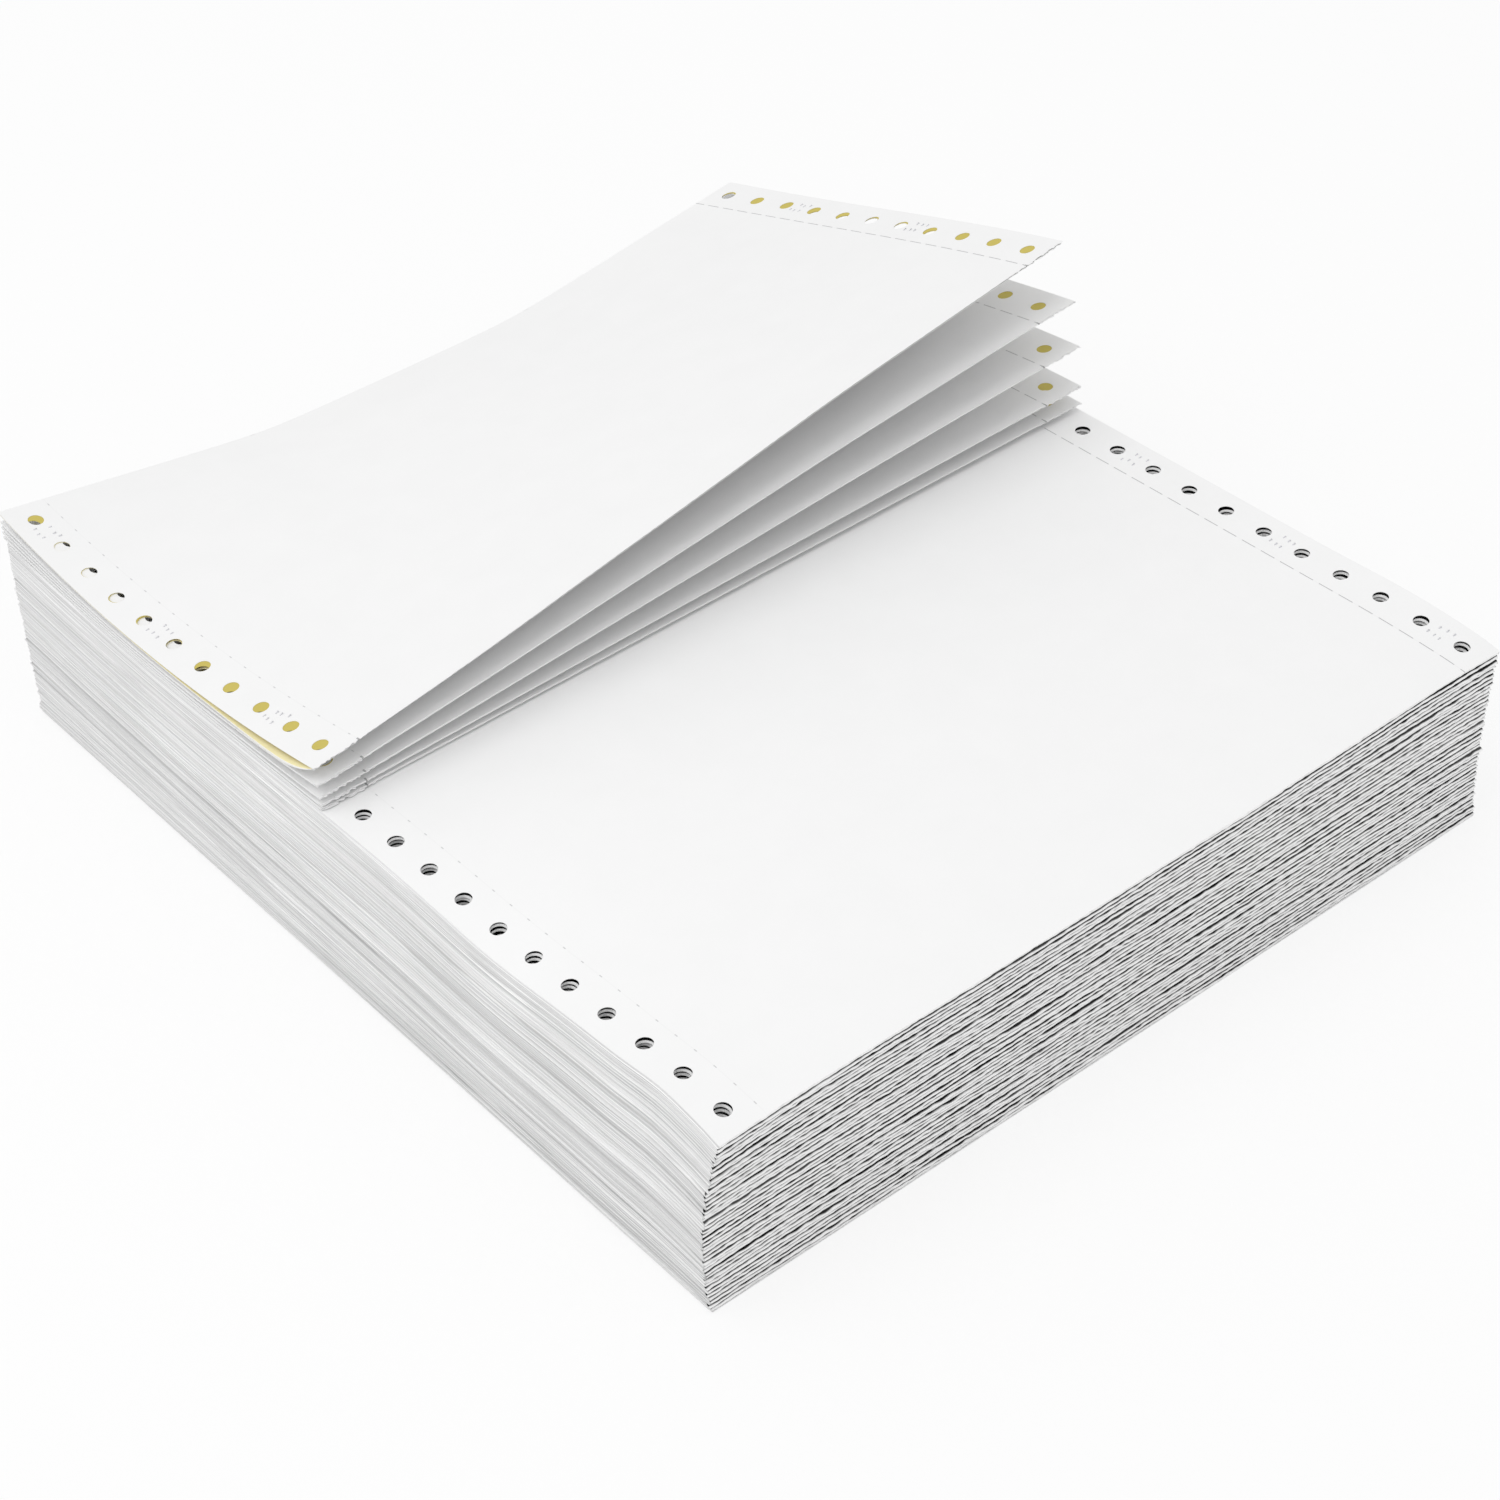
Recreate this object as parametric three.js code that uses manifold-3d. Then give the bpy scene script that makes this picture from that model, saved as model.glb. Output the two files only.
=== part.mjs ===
// Fan-fold computer paper: a stack of two-ply continuous forms with punched feed margins.
// The front halves of its top forms are torn off, and five raised leaves stay on the rear half.
// Millimetres: X runs across the paper, Y along the feed to the rear folds, Z up.

import * as THREE from 'three';
import { mergeGeometries, mergeVertices } from 'three/addons/utils/BufferGeometryUtils.js';
import Module from 'manifold-3d';

// The form, 9 1/2 by 11 inches with its feed margins
const paperWidth = 241.3;
const formLength = 279.4;
const feedMargin = 12.7;
const holePitch = 12.7;
const holeDiameter = 4;
const holeInset = 6.35;

// The cross perforation halves each form
const tearLength = formLength / 2;

// The folded stack
const stackHeight = 50;
const foldCount = 42;
const foldNose = 0.7;
const foldWander = 0.22;

// How the stack has settled: the middle third of its top stays flat, its sides rise towards
// the rear corners, and its body sways to the left below the top and twists a little
const flatMiddle = paperWidth / 3;
const frontDroop = 1.3;
const frontSag = 1.4;
const rearSag = 3;
const rearCornerRise = 7;
const frontSway = 5;
const rearSway = -0.3;
const sideTwist = 1.2;
const swaySlope = 3;
const swayReturn = 2.2;

// The raised leaves fan up from the stack, a little at the front left corner and far at the
// front right one. Each opens over the sheet below by its share of those two heights
const rightFanHeight = 45.8;
const leftFanHeight = 8;
const pageGap = 0.32;
const leafThickness = 0.32;
const leafSetback = 1;
const rearCornerGap = 0.9;
const rightBulge = 0.3;
const slowCurlPower = 3;
const sharpCurlPower = 14;
const raisedLeaves = [
  { name: 'raised_leaf_5', leftShare: 0.025, rightShare: 0.037 },
  { name: 'raised_leaf_4', leftShare: 0.075, rightShare: 0.1 },
  { name: 'raised_leaf_3', leftShare: 0.165, rightShare: 0.25 },
  { name: 'raised_leaf_2', leftShare: 0.35, rightShare: 0.274 },
];

// The top leaf's plies have parted: its white ply folds round the canary ply, which lies on
// the white ply's lower half. The two halves only meet again along the torn edge
const plyThickness = 0.15;
const plyFoldRoom = 0.3;
const canarySetback = 0.6;
const topLeafLower = { leftShare: 0.385, rightShare: 0.339 };
const topLeafCanary = { leftShare: 0, rightShare: 0 };
const topLeafUpper = { leftShare: 0.385, rightShare: 0 };

// How finely round and curved forms are drawn
const holeSides = 8;
const noseSegments = 3;
const stackColumns = 3;
const topRows = 11;
const sheetColumns = 3;
const curlSteps = 24;

// How each kind of sheet is made. A fold's reach is how far its nose passes the rear edge
const foldedLeaf = { thickness: leafThickness, setback: 0, foldReach: leafThickness / 2 };
const canaryPly = { thickness: plyThickness, setback: canarySetback, foldReach: 0 };
const whitePly = {
  thickness: plyThickness,
  setback: 0,
  foldReach: plyFoldRoom + plyThickness,
  foldRoom: plyFoldRoom,
};

const whitePaper = { color: 0xf3f3f0, roughness: 0.9, metalness: 0 };
const canaryPaper = { color: 0xe6d873, roughness: 0.9, metalness: 0 };

const wasm = await Module();
wasm.setup();

// From 0 in the flat middle of the paper to 1 at its sides
function sideward(x) {
  return Math.max(0, Math.abs(x) - flatMiddle / 2) / (paperWidth / 2 - flatMiddle / 2);
}

// Height of the stack's top face over its nominal height
function topShape(x, y) {
  const toSides = sideward(x);
  const toRear = Math.max(0, y) / tearLength;
  const toFront = Math.max(0, -y) / tearLength;
  const rear = rearCornerRise * toSides * toRear ** 3 - rearSag * toRear ** 2;
  const front = -frontDroop * toFront ** 4 - frontSag * (1 - toSides) * toFront ** 2;
  return rear + front;
}

// Moves a point of the straight stack to its place in the settled one
function settle(point) {
  const height = point.z / stackHeight;
  const depth = 1 - height;
  const toRear = point.y / formLength + 0.5;
  const sway = frontSway * (1 - toRear) + rearSway * toRear;
  const twist = sideTwist * point.x / (paperWidth / 2);
  const belly = depth * (swaySlope - swayReturn * depth);
  point.z += height * topShape(point.x, point.y);
  point.y -= twist * belly;
  point.x -= sway * belly;
  return point;
}

// Applies a change of place to every vertex
function reshape(geometry, change) {
  const points = geometry.attributes.position;
  const point = new THREE.Vector3();
  for (let i = 0; i < points.count; i += 1) {
    point.fromBufferAttribute(points, i);
    change(point);
    points.setXYZ(i, point.x, point.y, point.z);
  }
  return geometry;
}

// Keeps only places and joins the vertices that share one
function weld(geometry) {
  geometry.deleteAttribute('normal');
  geometry.deleteAttribute('uv');
  return mergeVertices(geometry, 1e-4);
}

function toManifold(geometry) {
  const welded = weld(geometry);
  return new wasm.Manifold(new wasm.Mesh({
    numProp: 3,
    vertProperties: new Float32Array(welded.attributes.position.array),
    triVerts: new Uint32Array(welded.index.array),
  }));
}

function fromManifold(solid) {
  const mesh = solid.getMesh();
  const geometry = new THREE.BufferGeometry();
  geometry.setAttribute('position', new THREE.BufferAttribute(mesh.vertProperties, 3));
  geometry.setIndex(new THREE.BufferAttribute(mesh.triVerts, 1));
  return geometry;
}

// Small uneven set of each fold, the same on every run
function foldReach(fold) {
  return foldNose + foldWander * Math.sin(2.4 * fold) * Math.cos(0.9 * fold);
}

// Side view of the zigzag: a round nose where two panels meet at a fold,
// at the front over the even panels and at the rear over the odd ones
function zigzagShape() {
  const panel = stackHeight / (2 * foldCount);
  const rear = formLength / 2 - foldNose;
  const front = -rear;
  const shape = new THREE.Shape();
  shape.moveTo(front, 0);
  shape.lineTo(rear, 0);
  shape.lineTo(rear, panel);
  for (let fold = 1; fold < foldCount; fold += 1) {
    const low = (2 * fold - 1) * panel;
    shape.quadraticCurveTo(rear + 2 * foldReach(fold), low + panel, rear, low + 2 * panel);
  }
  shape.lineTo(rear, stackHeight);
  for (let row = topRows - 1; row >= 0; row -= 1) {
    shape.lineTo(front + (rear - front) * row / topRows, stackHeight);
  }
  for (let fold = foldCount; fold > 0; fold -= 1) {
    const high = 2 * fold * panel;
    shape.quadraticCurveTo(front - 2 * foldReach(fold), high - panel, front, high - 2 * panel);
  }
  return shape;
}

// Places of the feed holes along one margin, from the rear fold forward
function holePlaces(length) {
  const count = Math.floor(length / holePitch + 1e-6);
  return Array.from({ length: count }, (_, i) => (i + 0.5) * holePitch);
}

// The stack is one solid, like a closed book, bored through by its feed holes
function stackGeometry() {
  const block = new THREE.ExtrudeGeometry(zigzagShape(), {
    depth: paperWidth,
    steps: stackColumns,
    curveSegments: noseSegments,
    bevelEnabled: false,
  });
  reshape(block, (point) => point.set(point.z - paperWidth / 2, point.x, point.y));
  let stack = toManifold(reshape(block, settle));
  const overrun = 3;
  for (const side of [-1, 1]) {
    for (const place of holePlaces(formLength)) {
      const bore = new THREE.CylinderGeometry(
        holeDiameter / 2,
        holeDiameter / 2,
        stackHeight + 2 * overrun,
        holeSides,
      );
      bore.rotateX(Math.PI / 2);
      reshape(bore, (point) => {
        const middle = new THREE.Vector3(
          side * (paperWidth / 2 - holeInset),
          formLength / 2 - place,
          stackHeight / 2 + point.z,
        );
        point.setZ(0).add(settle(middle));
      });
      stack = stack.subtract(toManifold(bore));
    }
  }
  return fromManifold(stack);
}

// One cell of a sheet's flat layout, punched if a feed hole falls in it
function flatCell(left, right, low, high, hole) {
  const cell = new THREE.Shape();
  cell.moveTo(left, low);
  cell.lineTo(right, low);
  cell.lineTo(right, high);
  cell.lineTo(left, high);
  if (hole) {
    const punched = new THREE.Path();
    punched.absarc(hole.x, hole.y, holeDiameter / 2, 0, 2 * Math.PI, true);
    cell.holes.push(punched);
  }
  return new THREE.ShapeGeometry(cell, holeSides / 2);
}

// Flat layout of a half form: Y runs from the torn edge to the rear fold
function flatSheet() {
  const side = paperWidth / 2;
  const inner = side - feedMargin;
  const columns = [-side];
  for (let i = 0; i <= sheetColumns; i += 1) {
    columns.push(-inner + 2 * inner * i / sheetColumns);
  }
  columns.push(side);
  const places = holePlaces(tearLength);
  const rows = [tearLength, ...places.map((place) => tearLength - place - holePitch / 2)];
  if (rows.at(-1) > 0.01) {
    rows.push(0);
  }
  const cells = [];
  for (let row = 0; row + 1 < rows.length; row += 1) {
    for (let column = 0; column + 1 < columns.length; column += 1) {
      const atMargin = column === 0 || column + 2 === columns.length;
      const across = column === 0 ? holeInset - side : side - holeInset;
      const hole = atMargin && row < places.length
        ? new THREE.Vector2(across, tearLength - places[row])
        : null;
      cells.push(flatCell(columns[column], columns[column + 1], rows[row + 1], rows[row], hole));
    }
  }
  return weld(mergeGeometries(cells));
}

// Ground that paper covers from one place to another while its height changes
function groundCovered(heightAt, from, to) {
  const step = (to - from) / curlSteps;
  let ground = 0;
  for (let i = 0; i < curlSteps; i += 1) {
    const climb = heightAt(from + (i + 1) * step) - heightAt(from + i * step);
    ground += Math.sqrt(step ** 2 - climb ** 2);
  }
  return ground;
}

// How the left side rises from the rear fold to the torn edge: a slow curl for a whole leaf,
// and a sharp one for the lower half of the top leaf, whose corner only is held up
function slowCurl(toFront) {
  return toFront ** slowCurlPower;
}

function sharpCurl(toFront) {
  return toFront ** sharpCurlPower;
}

function partedCurl(toFront) {
  return slowCurl(toFront) - sharpCurl(toFront);
}

// Height of one raised sheet over the one below, closed along the rear fold's middle
function opening(shares, leftCurl, rearGap, x, y) {
  const toRight = x / paperWidth + 0.5;
  const toFront = 1 - y / tearLength;
  const toRear = y / tearLength;
  const left = leftFanHeight * shares.leftShare * (1 - toRight) * leftCurl(toFront);
  const right = rightFanHeight * shares.rightShare * toRight * toFront * (1 + rightBulge * toRear);
  const rear = rearGap * sideward(x) * toRear ** 3;
  return pageGap + left + right + rear;
}

// Curls the flat layout to one height function. Gives its top face, then its underside
function curledFaces(flat, topHeight, sheet) {
  const top = [];
  for (let i = 0; i < flat.count; i += 1) {
    const across = flat.getX(i);
    const along = flat.getY(i);
    const x = groundCovered((u) => topHeight(u, along), -paperWidth / 2, across) - paperWidth / 2;
    const y = tearLength - groundCovered((v) => topHeight(across, v), along, tearLength);
    top.push(new THREE.Vector3(x, y + leafSetback - sheet.setback, topHeight(across, along)));
  }
  const underside = top.map((point) => point.clone().setZ(point.z - sheet.thickness));
  return [...top, ...underside];
}

// Closes a fold from one row of points down to another, round a nose that reaches past them
function addFold(points, faces, high, low, reach) {
  const nose = high.map((point, place) => {
    const middle = points[point].clone().lerp(points[low[place]], 0.5);
    return points.push(middle.setY(middle.y + reach)) - 1;
  });
  for (let i = 0; i + 1 < high.length; i += 1) {
    faces.push(high[i], high[i + 1], nose[i + 1], high[i], nose[i + 1], nose[i]);
    faces.push(nose[i], nose[i + 1], low[i + 1], nose[i], low[i + 1], low[i]);
  }
  return nose;
}

// Closes a sheet's rear fold and its two ends. Four faces are a sheet folded round a gap,
// which has an inner nose too
function closeRear(points, faces, line, count, sheet) {
  const lowest = points.length / count - 1;
  const row = (face) => line.map((point) => point + face * count);
  const rings = [addFold(points, faces, row(0), row(lowest), sheet.foldReach), row(lowest)];
  if (lowest > 1) {
    rings.push(row(2), addFold(points, faces, row(2), row(1), sheet.foldRoom), row(1));
  }
  rings.push(row(0));
  for (let i = 1; i + 1 < rings.length; i += 1) {
    const [nose, here, next] = [rings[0], rings[i], rings[i + 1]];
    faces.push(nose[0], here[0], next[0]);
    faces.push(nose.at(-1), next.at(-1), here.at(-1));
  }
}

// A curled sheet with its faces, the walls of its holes, its cut edges and its rear fold.
// One height gives a single sheet, and two give a sheet folded round a gap
function sheetGeometry(topHeights, sheet) {
  const layout = flatSheet();
  const flat = layout.attributes.position;
  const count = flat.count;
  const points = topHeights.flatMap((height) => curledFaces(flat, height, sheet));
  const tops = topHeights.map((_, half) => 2 * half * count);
  const faces = [];
  const edges = new Map();
  for (let i = 0; i < layout.index.count; i += 3) {
    const [a, b, c] = [0, 1, 2].map((corner) => layout.index.getX(i + corner));
    for (const [from, to] of [[a, b], [b, c], [c, a]]) {
      edges.set(`${from},${to}`, [from, to]);
    }
    for (const top of tops) {
      const under = top + count;
      faces.push(top + a, top + b, top + c);
      faces.push(under + a, under + c, under + b);
    }
  }
  const atFold = (point) => sheet.foldReach > 0 && flat.getY(point) > tearLength - 1e-3;
  for (const [from, to] of edges.values()) {
    if (edges.has(`${to},${from}`) || (atFold(from) && atFold(to))) {
      continue;
    }
    for (const top of tops) {
      const under = top + count;
      faces.push(top + from, under + from, under + to);
      faces.push(top + from, under + to, top + to);
    }
  }
  if (sheet.foldReach > 0) {
    const line = Array.from({ length: count }, (_, point) => point).filter(atFold);
    line.sort((p, q) => flat.getX(p) - flat.getX(q));
    closeRear(points, faces, line, count, sheet);
  }
  const geometry = new THREE.BufferGeometry();
  geometry.setFromPoints(points);
  geometry.setIndex(faces);
  return geometry;
}

function addPart(group, name, geometry, paper) {
  geometry.computeVertexNormals();
  const mesh = new THREE.Mesh(geometry, new THREE.MeshStandardMaterial(paper));
  mesh.name = name;
  group.add(mesh);
}

// Adds the raised sheets one over the other, each riding on the shape of the one below
function addRaisedLeaves(group) {
  let below = (x, y) => stackHeight + topShape(x, y);
  const nextHeight = (thickness, shares, leftCurl, rearGap) => {
    const under = below;
    below = (x, y) => under(x, y) + thickness + opening(shares, leftCurl, rearGap, x, y);
    return below;
  };
  for (const leaf of raisedLeaves) {
    const height = nextHeight(leafThickness, leaf, slowCurl, rearCornerGap);
    addPart(group, leaf.name, sheetGeometry([height], foldedLeaf), whitePaper);
  }
  const lowerHalf = nextHeight(plyThickness, topLeafLower, sharpCurl, rearCornerGap);
  const canary = nextHeight(plyThickness, topLeafCanary, sharpCurl, 0);
  const upperHalf = nextHeight(plyThickness, topLeafUpper, partedCurl, rearCornerGap / 2);
  addPart(group, 'top_leaf_canary_ply', sheetGeometry([canary], canaryPly), canaryPaper);
  addPart(group, 'top_leaf_white_ply', sheetGeometry([upperHalf, lowerHalf], whitePly), whitePaper);
}

// Centres the object over the origin and stands it on the ground plane
function standAtOrigin(group) {
  const box = new THREE.Box3().setFromObject(group, true);
  const centre = box.getCenter(new THREE.Vector3());
  group.position.set(-centre.x, -centre.y, -box.min.z);
}

const group = new THREE.Group();
addPart(group, 'fanfold_stack', stackGeometry(), whitePaper);
addRaisedLeaves(group);
standAtOrigin(group);

export default group;
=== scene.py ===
# %% [markdown]
# # A stack of fan-fold computer paper
#
# This lesson dresses a measured model of continuous computer paper in Blender. The solids come from
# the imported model, and they say where everything is. We add what makes paper look like paper: separate
# plies, punched holes that you can look down into, rows of folds, torn edges, perforations and crimps.
#
# We work in metres and in the model's own axes: X runs across the paper, Y towards the rear folds, Z up.

import math

import bpy
import numpy as np
from mathutils import Matrix, Vector


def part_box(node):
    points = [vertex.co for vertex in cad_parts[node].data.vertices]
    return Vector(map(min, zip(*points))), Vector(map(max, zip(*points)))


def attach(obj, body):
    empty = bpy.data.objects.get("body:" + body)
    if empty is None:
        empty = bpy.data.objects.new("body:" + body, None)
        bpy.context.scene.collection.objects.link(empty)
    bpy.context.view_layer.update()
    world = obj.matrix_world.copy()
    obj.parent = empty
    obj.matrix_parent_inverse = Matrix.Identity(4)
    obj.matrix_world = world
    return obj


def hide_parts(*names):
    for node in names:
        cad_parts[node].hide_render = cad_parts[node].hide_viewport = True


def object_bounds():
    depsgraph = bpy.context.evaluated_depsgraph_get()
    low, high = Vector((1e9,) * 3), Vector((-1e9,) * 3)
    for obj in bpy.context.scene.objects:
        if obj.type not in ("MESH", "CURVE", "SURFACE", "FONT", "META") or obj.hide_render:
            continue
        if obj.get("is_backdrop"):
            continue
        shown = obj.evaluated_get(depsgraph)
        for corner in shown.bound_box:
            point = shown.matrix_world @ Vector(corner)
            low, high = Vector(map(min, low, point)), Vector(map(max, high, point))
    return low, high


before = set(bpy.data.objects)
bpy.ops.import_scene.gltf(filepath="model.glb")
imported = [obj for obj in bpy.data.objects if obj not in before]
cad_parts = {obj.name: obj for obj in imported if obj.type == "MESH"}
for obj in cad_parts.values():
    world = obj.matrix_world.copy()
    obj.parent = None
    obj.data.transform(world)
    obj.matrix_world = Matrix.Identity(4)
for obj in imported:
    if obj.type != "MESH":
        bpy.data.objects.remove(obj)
cad_low, cad_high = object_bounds()
print("solids:", sorted(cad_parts))
print("size in mm:", [round(1000 * side, 1) for side in cad_high - cad_low])

# %% [markdown]
# ## The sizes of the form
#
# Tractor-fed paper is made to inch sizes, so a few numbers fix it: 9 1/2 in wide, 11 in from fold to
# fold, holes 1/2 in apart. We name them once, in metres, and work everything else out from them.

# %% Sizes of the form and of the stack
MM = 0.001
PAPER_WIDTH = 241.3 * MM
FORM_LENGTH = 279.4 * MM
TEAR_LENGTH = FORM_LENGTH / 2
FEED_MARGIN = 12.7 * MM
HOLE_PITCH = 12.7 * MM
HOLE_RADIUS = 2.0 * MM
HOLE_INSET = 6.35 * MM

STACK_HEIGHT = 50 * MM
FOLD_COUNT = 42
PANEL = STACK_HEIGHT / (2 * FOLD_COUNT)

FLAT_MIDDLE = PAPER_WIDTH / 3
FRONT_DROOP = 1.3 * MM
FRONT_SAG = 1.4 * MM
REAR_SAG = 3 * MM
REAR_CORNER_RISE = 7 * MM
FRONT_SWAY = 5 * MM
REAR_SWAY = -0.3 * MM
SIDE_TWIST = 1.2 * MM

PAGE_GAP = 0.32 * MM
LEAF_THICKNESS = 0.32 * MM
PLY_THICKNESS = 0.15 * MM
REAR_CORNER_GAP = 0.9 * MM
LEAF_SETBACK = 1 * MM
RIGHT_FAN_HEIGHT = 45.8 * MM
LEFT_FAN_HEIGHT = 8 * MM

# The model's origin is in the middle of its box, and the form's own zero is on the tear line
SHIFT_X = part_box("raised_leaf_5")[0].x + PAPER_WIDTH / 2
SHIFT_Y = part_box("raised_leaf_5")[1].y - TEAR_LENGTH - LEAF_SETBACK - LEAF_THICKNESS / 2
print("form's zero in the frame, mm:", round(SHIFT_X / MM, 2), round(SHIFT_Y / MM, 2))

# %% [markdown]
# ## The camera
#
# The photograph shows the stack from its front left corner, a little from above. The angle, the distance
# and the lens were worked out from the grid of feed holes, whose spacing is known. We build the camera
# from those few numbers, and aim it at a point on the stack's top face.

# %% Camera at the photograph's angle
CAMERA_AZIMUTH = math.radians(-38.46)
CAMERA_ELEVATION = math.radians(38.45)
CAMERA_ROLL = math.radians(-3.01)
CAMERA_DISTANCE = 771.5 * MM
CAMERA_LENS = 80.376
AIM = np.array([-35.13 * MM, -48.66 * MM, 0.0])


def make_camera():
    """A camera at the photograph's angle, distance and lens."""
    back = np.array([
        math.sin(CAMERA_AZIMUTH) * math.cos(CAMERA_ELEVATION),
        -math.cos(CAMERA_AZIMUTH) * math.cos(CAMERA_ELEVATION),
        math.sin(CAMERA_ELEVATION),
    ])
    right = np.cross(-back, (0, 0, 1))
    right /= np.linalg.norm(right)
    up = np.cross(right, -back)
    rolled_right = math.cos(CAMERA_ROLL) * right + math.sin(CAMERA_ROLL) * up
    rolled_up = -math.sin(CAMERA_ROLL) * right + math.cos(CAMERA_ROLL) * up
    place = AIM + np.array([SHIFT_X, SHIFT_Y, STACK_HEIGHT]) + CAMERA_DISTANCE * back
    data = bpy.data.cameras.new("photo_camera")
    data.lens = CAMERA_LENS
    data.sensor_width = 36
    camera = bpy.data.objects.new("photo_camera", data)
    bpy.context.scene.collection.objects.link(camera)
    matrix = np.eye(4)
    matrix[:3, 0], matrix[:3, 1], matrix[:3, 2], matrix[:3, 3] = rolled_right, rolled_up, back, place
    camera.matrix_world = Matrix(matrix.tolist())
    return camera


bpy.context.scene.camera = make_camera()
print("camera at", [round(v, 3) for v in bpy.context.scene.camera.location])

# %% [markdown]
# ## How the top of the stack lies
#
# The stack's top is almost flat at the front and rises towards its rear corners, and its punched margins
# wave a little. We write this as a height that depends on the place across and along the paper, and let
# the functions take whole arrays, so that one call moves thousands of points. The main forms are those
# that the solids have. Only the small waves are added here.

# %% Rise of the stack's top face
CREASE_SOFTNESS = 0.12
MARGIN_START = 70 * MM


def soft_sideward(x):
    """0 in the flat middle of the paper and 1 at its sides, without a crease between."""
    raw = (np.abs(x) - FLAT_MIDDLE / 2) / (PAPER_WIDTH / 2 - FLAT_MIDDLE / 2)
    return 0.5 * (raw + np.sqrt(raw ** 2 + CREASE_SOFTNESS ** 2)) * 0.993


def bump(y, middle, width):
    """A smooth rise of 1 at one place along the paper."""
    return np.exp(-((y - middle * MM) / (width * MM)) ** 2)


def margin_wave(x, y):
    """Waves of the two feed margins, and their droop at the front corners."""
    at_edge = np.clip((np.abs(x) - MARGIN_START) / (PAPER_WIDTH / 2 - MARGIN_START), 0, 1) ** 3
    to_front = np.clip(-y / TEAR_LENGTH, 0, 1)
    left = -2.3 * bump(y, -62, 26) + 1.5 * bump(y, -121, 11) - 1.6 * to_front ** 30
    right = 0.8 * bump(y, -112, 20) - 1.3 * to_front ** 26
    return at_edge * np.where(x < 0, left, right) * MM


def top_shape(x, y):
    """Height of the stack's top face over its nominal height."""
    to_sides = soft_sideward(x)
    to_rear = np.maximum(0, y) / TEAR_LENGTH
    to_front = np.maximum(0, -y) / TEAR_LENGTH
    rear = REAR_CORNER_RISE * to_sides * to_rear ** 3 - REAR_SAG * to_rear ** 2
    front = -FRONT_DROOP * to_front ** 4 - FRONT_SAG * (1 - to_sides) * to_front ** 2
    return rear + front + margin_wave(x, y)


rear_corner = float(top_shape(PAPER_WIDTH / 2, TEAR_LENGTH))
print("rise of the rear corners, mm:", round(rear_corner / MM, 1))

# %% [markdown]
# ## How far the leaves open
#
# Each raised leaf is a sheet over the one below it, so we describe only the gap that it adds: nothing
# at the rear fold, a little at the left, and the most at the right front corner. A table holds every
# leaf's share of the whole fan, and a leaf's height is the sum of the rows up to its own.

# %% Opening of the raised leaves


def slow_curl(to_front):
    """How a whole leaf's left side rises towards the torn edge."""
    return to_front ** 3


def sharp_curl(to_front):
    """How only the corner of the top leaf's lower half is held up."""
    return to_front ** 14


def parted_curl(to_front):
    """How far the top leaf's two halves stand apart."""
    return slow_curl(to_front) - sharp_curl(to_front)


def opening(left_share, right_share, left_curl, rear_gap, x, y):
    """Height of one raised sheet over the one below."""
    to_right = x / PAPER_WIDTH + 0.5
    to_rear = y / TEAR_LENGTH
    to_front = 1 - to_rear
    left = LEFT_FAN_HEIGHT * left_share * (1 - to_right) * left_curl(to_front)
    right = RIGHT_FAN_HEIGHT * right_share * to_right * to_front * (1 + 0.3 * to_rear)
    rear = rear_gap * soft_sideward(x) * np.maximum(0, to_rear) ** 3
    return PAGE_GAP + left + right + rear


# Each row: thickness, left and right share of the fan, the left curl, and the rear gap
SHEETS = {
    "raised_leaf_5": (LEAF_THICKNESS, 0.025, 0.037, slow_curl, REAR_CORNER_GAP),
    "raised_leaf_4": (LEAF_THICKNESS, 0.075, 0.1, slow_curl, REAR_CORNER_GAP),
    "raised_leaf_3": (LEAF_THICKNESS, 0.165, 0.25, slow_curl, REAR_CORNER_GAP),
    "raised_leaf_2": (LEAF_THICKNESS, 0.35, 0.274, slow_curl, REAR_CORNER_GAP),
    "lower_half": (PLY_THICKNESS, 0.385, 0.339, sharp_curl, REAR_CORNER_GAP),
    "canary_ply": (PLY_THICKNESS, 0, 0, sharp_curl, 0),
    "upper_half": (PLY_THICKNESS, 0.385, 0, parted_curl, REAR_CORNER_GAP / 2),
}


def height_of(sheet):
    """The height function of one raised sheet's top face."""
    names = list(SHEETS)
    rows = [SHEETS[name] for name in names[:names.index(sheet) + 1]]

    def height(x, y):
        total = STACK_HEIGHT + top_shape(x, y)
        for thickness, *shape in rows:
            total = total + thickness + opening(*shape, x, y)
        return total
    return height


front_right = float(height_of("upper_half")(PAPER_WIDTH / 2, 0))
print("top leaf's front right corner, mm:", round(front_right / MM, 1))

# %% [markdown]
# ## How the stack has settled
#
# A loose stack is never square: below its top it has swayed to the left near the front, and turned a
# little, and it bulges half way down. We build everything in the stack as if it stood straight, and send
# the points through one function at the end, so walls, sheets and holes all lean alike.

# %% Sway, twist and sag of the stack


def settled(x, y, z):
    """Where a point of the straight stack lies once the stack has swayed, twisted and sagged."""
    depth = 1 - z / STACK_HEIGHT
    belly = depth * (3 - 2.2 * depth)
    to_rear = y / FORM_LENGTH + 0.5
    sway = FRONT_SWAY * (1 - to_rear) + REAR_SWAY * to_rear
    twist = SIDE_TWIST * x / (PAPER_WIDTH / 2)
    height = z / STACK_HEIGHT
    return np.column_stack([x - sway * belly, y - twist * belly, z + height * top_shape(x, y)])


half_deep = settled(np.array([0.0]), np.array([-TEAR_LENGTH]), np.array([STACK_HEIGHT / 2]))[0]
print("sway half way down at the front, mm:", round(float(half_deep[0]) / MM, 1))

# %% [markdown]
# ## Punched sheets
#
# A sheet starts as a flat net of faces with its feed holes already in it. Around each hole the net is a
# square of one hole pitch that closes in to a ring, which keeps the faces tidy and the hole round.
#
# The net's faces share their points, so we keep a list of the points that are already known.

# %% A net of flat faces


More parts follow.
